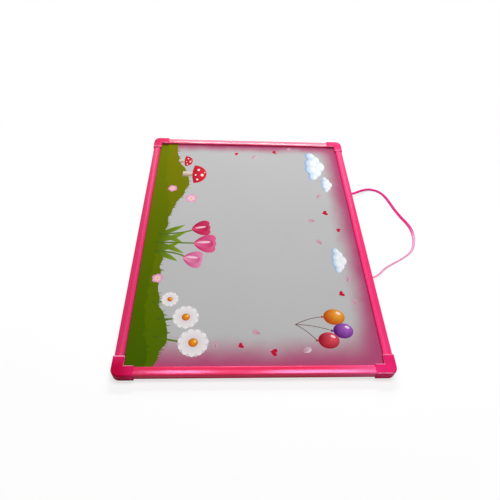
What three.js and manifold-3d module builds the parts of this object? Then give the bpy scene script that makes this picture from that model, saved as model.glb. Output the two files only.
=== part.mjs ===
// A child's writing board, lying with its writing face up.
// A printed, film-faced sheet is bonded to a core board and a back sheet. The edges of that panel
// sit in the slots of four hollow plastic rails, and a moulded cap plugs each pair of rails together
// at the corner. A flat hanging cord is knotted inside the right-hand rail and leaves it by two holes.
// Millimetres. +X right, +Y away from the near edge, +Z out of the writing face.
// The origin is under the middle of the board, on the surface that the four caps stand on.

import * as THREE from "three";
import { mergeVertices } from "three/addons/utils/BufferGeometryUtils.js";
import Module from "manifold-3d";

const wasm = await Module();
wasm.setup();

// Overall size, over the corner caps
const boardWidth = 300;
const boardDepth = 400;

// Panel layers
const backThickness = 0.5;
const coreThickness = 3;
const sheetThickness = 0.5;
const panelFit = 0.25;

// Rail section. Insets run inwards from the rail's outer face.
const railWidth = 10.2;
const railHeight = 9;
const railWall = 1.2;
const railTopRadius = 1.5;
const railBottomRadius = 1.2;
const railLipRadius = 1;
const crownRadius = 24;
const crestInset = 5;
const lowerLip = 1.25;
const slotDepth = 3.75;
const webThickness = 1.2;

// Corner caps
const capWall = 1;
const capFit = 0.15;
const capLeg = 23;
const capPlanRadius = 9;
const capTopRadius = 2;
const capBottomRadius = 1;
const capLipRadius = 2;
const capLipWall = 1.1;
const plugLength = 12;
const plugFit = 0.3;

// Hanging cord and its holes
const cordWidth = 4;
const cordThickness = 2;
const cordRestGap = 0.1;
const cordHoleFit = 0.5;
const cordHoleSpacing = 152;
const cordHoleShift = 6;
const cordSteps = 50;
const knotLength = 10;
const knotFit = 0.3;

// Roundness: straight sides for a rounded edge, across the crown, and round the corner in plan
const edgeSides = 5;
const crownSides = 5;
const planSides = 10;
const holeSides = 24;
const knotSides = 12;
const knotRings = 8;

// Corners nearer than this are one corner
const mergeDistance = 1e-4;

// Heights above the surface that the board lies on
const railBottom = capWall + capFit;
const railTop = railBottom + railHeight;
const capTop = railTop + capFit + capWall;
const slotFloor = railBottom + lowerLip;
const backBottom = slotFloor + panelFit;
const coreBottom = backBottom + backThickness;
const sheetBottom = coreBottom + coreThickness;
const sheetTop = sheetBottom + sheetThickness;
const slotRoof = sheetTop + panelFit;
const chamberFloor = railBottom + railWall;
const chamberRoof = railTop - crownDrop(railWall) - railWall;
const cordHoleHeight = (chamberFloor + chamberRoof) / 2;

// Insets from the cap's outer faces
const railInset = capWall + capFit;
const slotRoot = railWidth - slotDepth;
const chamberDepth = slotRoot - webThickness;
const capWidth = railInset + railWidth + capFit + capLipWall;
const railSetback = capWidth + capFit;
const panelInset = railInset + slotRoot + panelFit;

// Where the cord passes the rail on the +X side
const railFaceX = boardWidth / 2 - railInset;
const chamberFaceX = railFaceX - railWall;
const farHoleY = cordHoleShift + cordHoleSpacing / 2;
const nearHoleY = cordHoleShift - cordHoleSpacing / 2;

// How far the rail's crowned top lies under its crest at an inset
function crownDrop(inset) {
  return crownRadius - Math.sqrt(crownRadius ** 2 - (inset - crestInset) ** 2);
}

const finishes = {
  sheet: { color: 0xd9dadb, roughness: 0.25 },
  core: { color: 0xc9ab84, roughness: 0.9 },
  back: { color: 0xe9e6e0, roughness: 0.7 },
  rail: { color: 0xf2437f, roughness: 0.3 },
  cap: { color: 0xd9265f, roughness: 0.42 },
  cord: { color: 0xf04a9a, roughness: 0.5 },
};

const board = new THREE.Group();

function addPiece(name, geometry, finish) {
  const mesh = new THREE.Mesh(geometry, new THREE.MeshStandardMaterial(finish));
  mesh.name = name;
  board.add(mesh);
  return mesh;
}

// A merged solid, ready to be cut or joined
function toSolid(geometry) {
  const bare = geometry.clone();
  bare.deleteAttribute("normal");
  bare.deleteAttribute("uv");
  const merged = mergeVertices(bare, mergeDistance);
  const vertProperties = new Float32Array(merged.attributes.position.array);
  const triVerts = new Uint32Array(merged.index.array);
  return new wasm.Manifold(new wasm.Mesh({ numProp: 3, vertProperties, triVerts }));
}

function toGeometry(solid) {
  const mesh = solid.getMesh();
  const geometry = new THREE.BufferGeometry();
  geometry.setAttribute("position", new THREE.BufferAttribute(mesh.vertProperties, 3));
  geometry.setIndex(new THREE.BufferAttribute(mesh.triVerts, 1));
  geometry.computeVertexNormals();
  return geometry;
}

// A box whose corners hold exactly these numbers, so that stacked layers share a face
function block(low, high) {
  const geometry = new THREE.BoxGeometry(1, 1, 1);
  const corner = geometry.attributes.position;
  for (let i = 0; i < corner.count; i++) {
    const unit = [corner.getX(i), corner.getY(i), corner.getZ(i)];
    corner.setXYZ(i, ...unit.map((side, axis) => (side > 0 ? high[axis] : low[axis])));
  }
  return geometry;
}

// An outline of [inset, height] points with its corners rounded. Each corner is [inset, height, radius].
function rounded(corners) {
  const points = [];
  corners.forEach(([x, y, radius], i) => {
    const corner = new THREE.Vector2(x, y);
    if (!radius) {
      points.push(corner);
      return;
    }
    const before = new THREE.Vector2(...corners.at(i - 1)).sub(corner).normalize();
    const after = new THREE.Vector2(...corners[(i + 1) % corners.length]).sub(corner).normalize();
    const halfAngle = before.angleTo(after) / 2;
    const centre = before.clone().add(after).normalize().multiplyScalar(radius / Math.sin(halfAngle)).add(corner);
    const start = before.multiplyScalar(radius / Math.tan(halfAngle)).add(corner).sub(centre);
    const end = after.multiplyScalar(radius / Math.tan(halfAngle)).add(corner).sub(centre);
    const turn = Math.atan2(start.cross(end), start.dot(end));
    for (let k = 0; k <= edgeSides; k++) {
      points.push(start.clone().rotateAround(new THREE.Vector2(), (turn * k) / edgeSides).add(centre));
    }
  });
  return points;
}

// Extrudes an outline of [inset, height] along X, from one x to another
function alongX(outline, fromX, toX) {
  const shape = new THREE.Shape(outline);
  const geometry = new THREE.ExtrudeGeometry(shape, { depth: toX - fromX, bevelEnabled: false });
  // The outline is drawn in X and Y and extruded along Z: turn that to Y, Z and X
  geometry.applyMatrix4(new THREE.Matrix4().makeBasis(
    new THREE.Vector3(0, 1, 0), new THREE.Vector3(0, 0, 1), new THREE.Vector3(1, 0, 0)));
  return geometry.translate(fromX, 0, 0);
}

// The rail's outline, with or without the slot for the panel, grown by a clearance
function railOutline(withSlot, grow) {
  const bottom = railBottom - grow;
  const crownHeight = (inset) => railTop + grow - crownDrop(inset);
  const slot = [
    [railWidth, slotFloor, 0],
    [slotRoot, slotFloor, 0],
    [slotRoot, slotRoof, 0],
    [railWidth, slotRoof, 0],
  ];
  const crown = [];
  for (let k = crownSides; k >= 0; k--) {
    const inset = railTopRadius + ((railWidth - 2 * railLipRadius - railTopRadius) * k) / crownSides;
    crown.push([inset, crownHeight(inset), 0]);
  }
  return rounded([
    [-grow, bottom, railBottomRadius + grow],
    [railWidth + grow, bottom, 0],
    ...(withSlot ? slot : []),
    [railWidth + grow, crownHeight(railWidth), railLipRadius + grow],
    ...crown,
    [-grow, crownHeight(0), railTopRadius + grow],
  ]);
}

// The hollow along the rail, which the caps' plugs also fit, shrunk by a clearance
function chamberOutline(shrink) {
  const floor = chamberFloor + shrink;
  const roof = chamberRoof - shrink;
  return rounded([
    [railWall + shrink, floor, 0],
    [chamberDepth - shrink, floor, 0],
    [chamberDepth - shrink, roof, 0],
    [railWall + shrink, roof, railTopRadius - railWall],
  ]);
}

// A rail lies along X with its outer face at y = 0, facing -Y. Its chamber is open at both ends.
function railSolid(length) {
  const bar = toSolid(alongX(railOutline(true, 0), -length / 2, length / 2));
  const chamber = toSolid(alongX(chamberOutline(0), -length, length));
  return bar.subtract(chamber);
}

function cordHole(alongRail) {
  const radius = cordWidth / 2 + cordHoleFit;
  const drill = new THREE.CylinderGeometry(radius, radius, 2 * railWall, holeSides);
  return toSolid(drill.translate(alongRail, railWall / 2, cordHoleHeight));
}

function addRails() {
  const sides = [
    ["rail_near", boardWidth, boardDepth, 0],
    ["rail_right", boardDepth, boardWidth, 1],
    ["rail_far", boardWidth, boardDepth, 2],
    ["rail_left", boardDepth, boardWidth, 3],
  ];
  for (const [name, along, across, quarterTurns] of sides) {
    let solid = railSolid(along - 2 * railSetback);
    if (name === "rail_right") solid = solid.subtract(cordHole(farHoleY)).subtract(cordHole(nearHoleY));
    const rail = addPiece(name, toGeometry(solid), finishes.rail);
    const heading = (quarterTurns * Math.PI) / 2;
    rail.rotation.z = heading;
    rail.position.set(Math.sin(heading), -Math.cos(heading), 0).multiplyScalar(across / 2 - railInset);
  }
}

// Sweeps an outline round the corner at the origin, from a leg along +X to a leg along +Y.
// Points further in than the plan radius turn the corner in one sharp step.
function cornerSweep(outline, leg, planRadius) {
  const stations = [(inset, z) => [leg, inset, z]];
  for (let k = 0; k <= planSides; k++) {
    const angle = (-Math.PI / 2) * (1 + k / planSides);
    stations.push((inset, z) => {
      const reach = planRadius - inset;
      const turned = reach > 0;
      const x = turned ? planRadius + reach * Math.cos(angle) : inset;
      const y = turned ? planRadius + reach * Math.sin(angle) : inset;
      return [x, y, z];
    });
  }
  stations.push((inset, z) => [inset, leg, z]);

  const count = outline.length;
  const positions = stations.flatMap((place) => outline.flatMap((point) => place(point.x, point.y)));
  const faces = [];
  for (let s = 0; s + 1 < stations.length; s++) {
    for (let i = 0; i < count; i++) {
      const a = s * count + i;
      const b = s * count + ((i + 1) % count);
      faces.push([a, b + count, b], [a, a + count, b + count]);
    }
  }
  const last = (stations.length - 1) * count;
  for (const [a, b, c] of THREE.ShapeUtils.triangulateShape(outline, [])) {
    faces.push([a, b, c], [last + c, last + b, last + a]);
  }

  const geometry = new THREE.BufferGeometry();
  geometry.setAttribute("position", new THREE.Float32BufferAttribute(positions, 3));
  geometry.setIndex(faces.flat());
  return withoutSlivers(mergeVertices(geometry, mergeDistance));
}

// Drops the triangles that have two corners in one place
function withoutSlivers(geometry) {
  const index = geometry.index.array;
  const kept = [];
  for (let i = 0; i < index.length; i += 3) {
    const [a, b, c] = index.slice(i, i + 3);
    if (a !== b && b !== c && c !== a) kept.push(a, b, c);
  }
  geometry.setIndex(kept);
  return geometry;
}

function capOutline() {
  return rounded([
    [0, 0, capBottomRadius],
    [capWidth, 0, 0],
    [capWidth, capTop, capLipRadius],
    [0, capTop, capTopRadius],
  ]);
}

// The mirror image of a solid that lies along X, lying along Y
function acrossDiagonal(solid) {
  return solid.mirror([1, -1, 0]);
}

function capGeometry() {
  const hood = toSolid(cornerSweep(capOutline(), capLeg, capPlanRadius));
  const panelCorner = railInset + slotRoot;
  const past = capLeg + plugLength;
  const panelPocket = toSolid(block([panelCorner, panelCorner, slotFloor], [past, past, slotRoof]));
  const sleeve = toSolid(alongX(railOutline(false, capFit), capWidth, past).translate(0, railInset, 0));
  const plugStart = capWidth - capWall;
  const plug = toSolid(alongX(chamberOutline(plugFit), plugStart, capWidth + plugLength)
    .translate(0, railInset, 0));
  const cap = hood
    .subtract(panelPocket)
    .subtract(sleeve)
    .subtract(acrossDiagonal(sleeve))
    .add(plug)
    .add(acrossDiagonal(plug));
  return toGeometry(cap);
}

function addCaps() {
  const corners = [
    ["cap_near_left", -1, -1, 0],
    ["cap_near_right", 1, -1, 1],
    ["cap_far_right", 1, 1, 2],
    ["cap_far_left", -1, 1, 3],
  ];
  const geometry = capGeometry();
  for (const [name, sideX, sideY, quarterTurns] of corners) {
    const cap = addPiece(name, geometry.clone(), finishes.cap);
    cap.rotation.z = (quarterTurns * Math.PI) / 2;
    cap.position.set((sideX * boardWidth) / 2, (sideY * boardDepth) / 2, 0);
  }
}

function addPanel() {
  const halfX = boardWidth / 2 - panelInset;
  const halfY = boardDepth / 2 - panelInset;
  const layer = (bottom, top) => block([-halfX, -halfY, bottom], [halfX, halfY, top]);
  addPiece("back_sheet", layer(backBottom, coreBottom), finishes.back);
  addPiece("core_board", layer(coreBottom, sheetBottom), finishes.core);
  addPiece("writing_sheet", layer(sheetBottom, sheetTop), finishes.sheet);
}

// The cord's middle line, from the far hole, round the loop on the table, to the near hole.
// It leaves the rail square to its face, drops to the table and lies there on its flat side.
function cordRoute() {
  const lying = cordThickness / 2 + cordRestGap;
  const points = [
    [chamberFaceX, farHoleY, cordHoleHeight],
    [151, 82.4, lying + 4.3],
    [154.4, 83.9, lying + 4],
    [157.6, 86, lying + 3.5],
    [161.1, 88.5, lying + 2.8],
    [167.4, 92.4, lying + 1.65],
    [175.2, 95.7, lying + 0.7],
    [183.5, 96.1, lying + 0.15],
    [191.2, 93.3, lying],
    [197, 87.8, lying],
    [201, 80.6, lying],
    [204.2, 71.4, lying],
    [206.9, 61.3, lying],
    [210.1, 51, lying],
    [214.3, 40, lying],
    [218.9, 30.3, lying],
    [222.3, 20.7, lying],
    [223.6, 10.6, lying],
    [222.7, 0.8, lying],
    [220.6, -8, lying],
    [217.5, -16.2, lying],
    [213, -23.2, lying],
    [207.3, -28.8, lying],
    [200.5, -33.8, lying],
    [192.7, -39, lying],
    [184.2, -43.9, lying],
    [175.9, -49, lying + 0.2],
    [168.5, -54.8, lying + 0.9],
    [161.2, -62.3, lying + 2.35],
    [157.7, -65.5, lying + 3.2],
    [154.5, -67.9, lying + 3.9],
    [151, -69.4, lying + 4.3],
    [chamberFaceX, nearHoleY, cordHoleHeight],
  ];
  return new THREE.CatmullRomCurve3(points.map((point) => new THREE.Vector3(...point)), false, "centripetal");
}

// A flat section: X is across its thickness and Y across its width
function cordSection() {
  const halfWidth = cordWidth / 2;
  const halfThickness = cordThickness / 2;
  const flatWidth = halfWidth - halfThickness;
  const edgeHeight = halfThickness / 2;
  return new THREE.Shape([
    new THREE.Vector2(halfThickness, -flatWidth),
    new THREE.Vector2(halfThickness, flatWidth),
    new THREE.Vector2(edgeHeight, halfWidth),
    new THREE.Vector2(-edgeHeight, halfWidth),
    new THREE.Vector2(-halfThickness, flatWidth),
    new THREE.Vector2(-halfThickness, -flatWidth),
    new THREE.Vector2(-edgeHeight, -halfWidth),
    new THREE.Vector2(edgeHeight, -halfWidth),
  ]);
}

// A knot too long for the cord's hole, lying along the rail's chamber
function knotGeometry(alongRail) {
  const chamberMiddle = railFaceX - (railWall + chamberDepth) / 2;
  const halfAcross = (chamberDepth - railWall) / 2 - knotFit;
  const halfUp = (chamberRoof - chamberFloor) / 2 - knotFit;
  return new THREE.SphereGeometry(1, knotSides, knotRings)
    .scale(halfAcross, knotLength / 2, halfUp)
    .translate(chamberMiddle, alongRail, cordHoleHeight);
}

function addCord() {
  const tube = new THREE.ExtrudeGeometry(cordSection(), { steps: cordSteps, extrudePath: cordRoute() });
  addPiece("hang_cord", tube, finishes.cord);
  addPiece("cord_knot_far", knotGeometry(farHoleY), finishes.cord);
  addPiece("cord_knot_near", knotGeometry(nearHoleY), finishes.cord);
}

addPanel();
addRails();
addCaps();
addCord();

export default board;
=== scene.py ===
"""The looks of a child's writing board: fine rails and caps, a printed sheet, and a flat braided cord.

Lengths in the constants are millimetres, as in the CAD source, except where a comment says metres.
Blender objects are in metres, in the CAD frame: +X right, +Y away from the near edge, +Z out of the
writing face.
"""

import math
import random

import bmesh
import bpy
import numpy as np
from mathutils import Matrix, Vector
from mathutils.geometry import delaunay_2d_cdt


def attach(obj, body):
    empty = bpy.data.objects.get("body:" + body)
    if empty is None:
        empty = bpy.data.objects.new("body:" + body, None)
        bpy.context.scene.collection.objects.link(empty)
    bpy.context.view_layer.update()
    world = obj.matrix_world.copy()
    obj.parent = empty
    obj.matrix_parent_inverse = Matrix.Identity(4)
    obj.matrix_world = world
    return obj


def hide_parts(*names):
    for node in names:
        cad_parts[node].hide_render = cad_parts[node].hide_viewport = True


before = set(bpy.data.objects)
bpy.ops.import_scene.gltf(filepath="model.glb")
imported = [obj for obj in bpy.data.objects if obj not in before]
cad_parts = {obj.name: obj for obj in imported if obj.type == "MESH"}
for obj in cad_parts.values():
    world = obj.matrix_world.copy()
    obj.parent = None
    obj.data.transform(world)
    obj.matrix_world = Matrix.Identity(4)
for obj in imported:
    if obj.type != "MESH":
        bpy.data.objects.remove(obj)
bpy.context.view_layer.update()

MM = 0.001
# A rectangle's corners in X and Y, anticlockwise from near left
CORNERS = ((-1, -1), (1, -1), (1, 1), (-1, 1))

# The CAD source's values
BOARD_WIDTH, BOARD_DEPTH = 300, 400
BACK_THICKNESS, CORE_THICKNESS, SHEET_THICKNESS, PANEL_FIT = 0.5, 3, 0.5, 0.25
RAIL_WIDTH, RAIL_HEIGHT, RAIL_WALL = 10.2, 9, 1.2
RAIL_TOP_RADIUS, RAIL_BOTTOM_RADIUS, RAIL_LIP_RADIUS = 1.5, 1.2, 1
CROWN_RADIUS, CREST_INSET = 24, 5
LOWER_LIP, SLOT_DEPTH, WEB_THICKNESS = 1.25, 3.75, 1.2
CAP_WALL, CAP_FIT, CAP_LEG, CAP_PLAN_RADIUS = 1, 0.15, 23, 9
CAP_TOP_RADIUS, CAP_BOTTOM_RADIUS, CAP_LIP_RADIUS, CAP_LIP_WALL = 2, 1, 2, 1.1
PLUG_LENGTH, PLUG_FIT = 12, 0.3
CORD_WIDTH, CORD_THICKNESS, CORD_REST_GAP, CORD_HOLE_FIT = 4, 2, 0.1, 0.5
CORD_HOLES_Y = (82, -70)
KNOT_LENGTH, KNOT_FIT = 10, 0.3

RAIL_BOTTOM = CAP_WALL + CAP_FIT
RAIL_TOP = RAIL_BOTTOM + RAIL_HEIGHT
CAP_TOP = RAIL_TOP + CAP_FIT + CAP_WALL
SLOT_FLOOR = RAIL_BOTTOM + LOWER_LIP
SHEET_TOP = SLOT_FLOOR + PANEL_FIT + BACK_THICKNESS + CORE_THICKNESS + SHEET_THICKNESS
SLOT_ROOF = SHEET_TOP + PANEL_FIT
RAIL_INSET = CAP_WALL + CAP_FIT
SLOT_ROOT = RAIL_WIDTH - SLOT_DEPTH
CHAMBER_DEPTH = SLOT_ROOT - WEB_THICKNESS
CAP_WIDTH = RAIL_INSET + RAIL_WIDTH + CAP_FIT + CAP_LIP_WALL
RAIL_SETBACK = CAP_WIDTH + CAP_FIT
PANEL_INSET = RAIL_INSET + SLOT_ROOT + PANEL_FIT
RAIL_FACE_X = BOARD_WIDTH / 2 - RAIL_INSET
CHAMBER_FACE_X = RAIL_FACE_X - RAIL_WALL


def crown_drop(inset):
    return CROWN_RADIUS - math.sqrt(CROWN_RADIUS**2 - (inset - CREST_INSET) ** 2)


CHAMBER_FLOOR = RAIL_BOTTOM + RAIL_WALL
CHAMBER_ROOF = RAIL_TOP - crown_drop(RAIL_WALL) - RAIL_WALL
CORD_HOLE_HEIGHT = (CHAMBER_FLOOR + CHAMBER_ROOF) / 2


def added(name, data):
    """A new object of the scene."""
    obj = bpy.data.objects.new(name, data)
    bpy.context.scene.collection.objects.link(obj)
    return obj


def facing(place, right, up, back):
    """The matrix of a camera or a lamp at a place in metres, which looks away from its back."""
    return Matrix.Translation(place) @ Matrix((right, up, back)).transposed().to_4x4()


# Camera: its axes, place in metres and lens come from the corners of the board in the photograph

CAMERA_RIGHT = (0.998167, -0.031357, 0.05177)
CAMERA_UP = (-0.00891, 0.769893, 0.638112)
CAMERA_BACK = (-0.059867, -0.637403, 0.768202)
CAMERA_PLACE = (-0.02876, -0.38527, 0.43676)
CAMERA_LENS, CAMERA_SENSOR, CAMERA_SHIFT = 31.222, 36, -0.012


def add_camera():
    data = bpy.data.cameras.new("camera")
    camera = added("camera", data)
    camera.matrix_world = facing(CAMERA_PLACE, CAMERA_RIGHT, CAMERA_UP, CAMERA_BACK)
    data.sensor_width = CAMERA_SENSOR
    data.lens = CAMERA_LENS
    data.shift_x = CAMERA_SHIFT
    data.clip_start = 0.01
    bpy.context.scene.camera = camera


# Meshes

MERGE = 1e-7


def link(name, mesh, replaces):
    """A piece that stands for the CAD nodes that it replaces."""
    obj = added(name, mesh)
    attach(obj, "root")
    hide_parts(*replaces)
    return obj


def mesh_from(name, points, faces, smooth=None):
    """A mesh in metres from points in millimetres, with its normals outwards."""
    mesh = bpy.data.meshes.new(name)
    mesh.from_pydata([[c * MM for c in p] for p in points], [], faces)
    tidy(mesh, smooth)
    return mesh


def tidy(mesh, smooth=None):
    """Merges doubles, turns the normals outwards, and shades edges under so many degrees smooth."""
    bm = bmesh.new()
    bm.from_mesh(mesh)
    bmesh.ops.remove_doubles(bm, verts=bm.verts, dist=MERGE)
    bmesh.ops.dissolve_degenerate(bm, edges=bm.edges, dist=MERGE)
    bmesh.ops.recalc_face_normals(bm, faces=bm.faces)
    bm.to_mesh(mesh)
    bm.free()
    if smooth:
        mesh.shade_smooth()
        mesh.set_sharp_from_angle(angle=math.radians(smooth))


def rounded(corners, sides):
    """An outline of (inset, height) points. Each corner is (inset, height, radius)."""
    points = []
    for i, (x, y, radius) in enumerate(corners):
        corner = Vector((x, y))
        if not radius:
            points.append(corner)
            continue
        before = (Vector(corners[i - 1][:2]) - corner).normalized()
        after = (Vector(corners[(i + 1) % len(corners)][:2]) - corner).normalized()
        half = before.angle(after) / 2
        centre = corner + (before + after).normalized() * (radius / math.sin(half))
        start = corner + before * (radius / math.tan(half)) - centre
        end = corner + after * (radius / math.tan(half)) - centre
        turn = math.atan2(start.x * end.y - start.y * end.x, start.dot(end))
        for k in range(sides + 1):
            points.append(Matrix.Rotation(turn * k / sides, 2) @ start + centre)
    return [tuple(p) for p in points]


def pairs(loop):
    """Each item of a closed loop, after the one before it."""
    return zip([loop[-1], *loop], loop)


def circle(count):
    """Angles all round, in even steps."""
    return np.arange(count) * 2 * math.pi / count


def skin(rings, sides, closed=False):
    """The faces between rings of points, and over the first and last ring unless the tube is closed."""
    faces = []
    for k in range(rings if closed else rings - 1):
        low, high = k * sides, (k + 1) % rings * sides
        for i in range(sides):
            j = (i + 1) % sides
            faces.append((low + i, low + j, high + j, high + i))
    if not closed:
        faces.append(tuple(range(sides)))
        faces.append(tuple(reversed(range((rings - 1) * sides, rings * sides))))
    return faces


def prism(outlines, place, low, high, cuts=1):
    """Extrudes an outline and its holes. place(inset, height, along) gives a point."""
    flat = [Vector(p) for outline in outlines for p in outline]
    edges, first = [], 0
    for outline in outlines:
        edges += pairs(range(first, first + len(outline)))
        first += len(outline)
    verts, _, faces, origin, _, _ = delaunay_2d_cdt(flat, edges, [], 0, MERGE, True)
    order = {min(ids): i for i, ids in enumerate(origin) if ids}

    def inside(face):
        middle = sum((verts[i] for i in face), Vector((0, 0))) / len(face)
        crossings = 0
        for a, b in edges:
            (ax, ay), (bx, by) = flat[a], flat[b]
            if (ay > middle.y) != (by > middle.y):
                crossings += middle.x < ax + (bx - ax) * (middle.y - ay) / (by - ay)
        return crossings % 2 == 1

    ends = [face for face in faces if inside(face)]
    count = len(verts)
    points, all_faces = [], []
    for k in range(cuts + 1):
        points += [place(v.x, v.y, low + (high - low) * k / cuts) for v in verts]
    for edge in edges:
        a, b = (order[i] for i in edge)
        for k in range(0, cuts * count, count):
            all_faces.append((a + k, b + k, b + k + count, a + k + count))
    all_faces += [tuple(face) for face in ends]
    all_faces += [tuple(i + cuts * count for i in reversed(face)) for face in ends]
    return points, all_faces


def combined(base, others, operation):
    """base with a boolean of the other meshes, as a new mesh."""
    target = added("boolean", base)
    operands = [added("operand", mesh) for mesh in others]
    for operand in operands:
        modifier = target.modifiers.new("boolean", "BOOLEAN")
        modifier.operation = operation
        modifier.solver = "MANIFOLD"
        modifier.object = operand
    bpy.context.view_layer.update()
    evaluated = target.evaluated_get(bpy.context.evaluated_depsgraph_get())
    result = bpy.data.meshes.new_from_object(evaluated)
    result.materials.clear()
    for obj in [target, *operands]:
        bpy.data.objects.remove(obj)
    return result


# Cord

CORD_LYING = CORD_THICKNESS / 2 + CORD_REST_GAP
# (x, y, height over the lying cord's middle)
CORD_ROUTE = [
    (CHAMBER_FACE_X, CORD_HOLES_Y[0], CORD_HOLE_HEIGHT - CORD_LYING),
    (151, 82.4, 4.3), (154.4, 83.9, 4), (157.6, 86, 3.5), (161.1, 88.5, 2.8), (167.4, 92.4, 1.65),
    (175.2, 95.7, 0.7), (183.5, 96.1, 0.15), (191.2, 93.3, 0), (197, 87.8, 0), (201, 80.6, 0),
    (204.2, 71.4, 0), (206.9, 61.3, 0), (210.1, 51, 0), (214.3, 40, 0), (218.9, 30.3, 0),
    (222.3, 20.7, 0), (223.6, 10.6, 0), (222.7, 0.8, 0), (220.6, -8, 0), (217.5, -16.2, 0),
    (213, -23.2, 0), (207.3, -28.8, 0), (200.5, -33.8, 0), (192.7, -39, 0), (184.2, -43.9, 0),
    (175.9, -49, 0.2), (168.5, -54.8, 0.9), (161.2, -62.3, 2.35), (157.7, -65.5, 3.2),
    (154.5, -67.9, 3.9), (151, -69.4, 4.3),
    (CHAMBER_FACE_X, CORD_HOLES_Y[1], CORD_HOLE_HEIGHT - CORD_LYING),
]
CORD_STEP, CORD_SIDES = 0.36, 40
ROUTE_CUTS = 24
# Powers of the cosine and sine that make its section a flattened oval, fuller than an ellipse
CORD_OVAL = (0.62, 0.8)
# The braid spreads where it is slack, before the bend, and draws narrower where it is pulled straight,
# most between the bend and the near hole. It thins there too, and its underside stays as low.
# (run along the cord, share of its full width or thickness)
CORD_DRAWN = [(0, 0.97), (50, 1.04), (80, 1.08), (110, 1.17), (130, 1.2), (140, 1.16), (152, 1.02),
              (163, 0.9), (185, 0.56), (250, 0.6)]
CORD_THINNED = [(150, 1), (185, 0.62)]
BRAID_PERIOD, BRAID_COLUMNS, BRAID_DEPTH = 1.5, 4, 0.16
# The relief fades out over so many rings at each end
BRAID_FADE = 4
KNOT_STRAND, KNOT_STEPS, KNOT_SIDES = 0.95, 120, 10
# Half the share by which the knot's strand thins between plies, and the rings from ply to ply
PLY_DEPTH, PLY_RINGS = 0.06, 4


def smooth_line(points, step):
    """A centripetal Catmull-Rom curve through the points, with points about step apart."""
    p = [Vector(q) for q in points]
    p = [2 * p[0] - p[1], *p, 2 * p[-1] - p[-2]]
    line = []
    for i in range(1, len(p) - 2):
        a, b, c, d = p[i - 1 : i + 3]
        t1 = (b - a).length ** 0.5
        t2 = t1 + (c - b).length ** 0.5
        t3 = t2 + (d - c).length ** 0.5
        for k in range(ROUTE_CUTS):
            t = t1 + (t2 - t1) * k / ROUTE_CUTS
            ab = a.lerp(b, t / t1)
            bc = b.lerp(c, (t - t1) / (t2 - t1))
            cd = c.lerp(d, (t - t2) / (t3 - t2))
            line.append(ab.lerp(bc, t / t2).lerp(bc.lerp(cd, (t - t1) / (t3 - t1)), (t - t1) / (t2 - t1)))
    line.append(p[-2])
    line = np.array(line)
    along = np.concatenate([[0], np.cumsum(np.linalg.norm(np.diff(line, axis=0), axis=1))])
    at = np.linspace(0, along[-1], max(2, round(along[-1] / step) + 1))
    return np.stack([np.interp(at, along, line[:, k]) for k in range(3)], axis=1), at


def frames_of(line):
    """Sideways and upwards directions along a line that never stands upright."""
    tangent = np.gradient(line, axis=0)
    tangent /= np.linalg.norm(tangent, axis=1)[:, None]
    side = np.cross([0, 0, 1], tangent)
    side /= np.linalg.norm(side, axis=1)[:, None]
    return side, np.cross(tangent, side)


def braid_relief(across, along):
    """How far the plaited strands lie below the surface. across runs from 0 to 1 over the width."""
    column = across * BRAID_COLUMNS
    index = np.floor(column)
    within = column - index
    lean = np.where(index % 2 == 0, within, 1 - within)
    strand = (along / BRAID_PERIOD + 0.5 * lean + 0.25 * (index % 2)) % 1
    groove_along = 1 - np.sqrt(np.clip(1 - (2 * strand - 1) ** 2, 0, 1))
    groove_between = 1 - np.sqrt(np.clip(1 - (2 * within - 1) ** 2, 0, 1))
    return BRAID_DEPTH * np.clip(0.55 * groove_along + 0.6 * groove_between, 0, 1)


def powered(values, power):
    return np.sign(values) * np.abs(values) ** power


def add_cord():
    line, along = smooth_line([(x, y, z + CORD_LYING) for x, y, z in CORD_ROUTE], CORD_STEP)
    half_width, half_thick = CORD_WIDTH / 2, CORD_THICKNESS / 2
    drawn = np.interp(along, *zip(*CORD_DRAWN))
    thinned = np.interp(along, *zip(*CORD_THINNED))
    line[:, 2] -= (1 - thinned) * half_thick
    side, up = frames_of(line)
    angle = circle(CORD_SIDES)
    x = powered(np.cos(angle), CORD_OVAL[0]) * half_width
    z = powered(np.sin(angle), CORD_OVAL[1]) * half_thick
    # Just under 1 at the far edge, so that this edge is in the last column of the braid
    across = (x / half_width + 1) / 2 * 0.999
    points = []
    for k, centre in enumerate(line):
        fade = min(1, min(k, len(line) - 1 - k) / BRAID_FADE)
        relief = braid_relief(across, along[k] + np.where(z < 0, BRAID_PERIOD / 2, 0)) * fade
        scale_x = (1 - relief / half_width) * drawn[k]
        scale_z = (1 - relief / half_thick) * thinned[k]
        points += [tuple(centre + side[k] * x[i] * scale_x[i] + up[k] * z[i] * scale_z[i])
                   for i in range(CORD_SIDES)]
    mesh = mesh_from("hanging_cord", points, skin(len(line), CORD_SIDES), smooth=50)
    # For the material: each point's run along the cord and place across it, in metres
    values = np.zeros((len(points), 3))
    values[:, 0] = np.repeat(along, CORD_SIDES) * MM
    values[:, 1] = np.tile(x, len(line)) * MM
    mesh.attributes.new("run", "FLOAT_VECTOR", "POINT").data.foreach_set("vector", values.ravel())
    cord = link("hanging_cord", mesh, replaces=["hang_cord"])
    braid = cord_material()
    mesh.materials.append(braid)
    knots = [add_knot(*knot, braid) for knot in zip(("cord_knot_far", "cord_knot_near"), CORD_HOLES_Y)]


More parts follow.
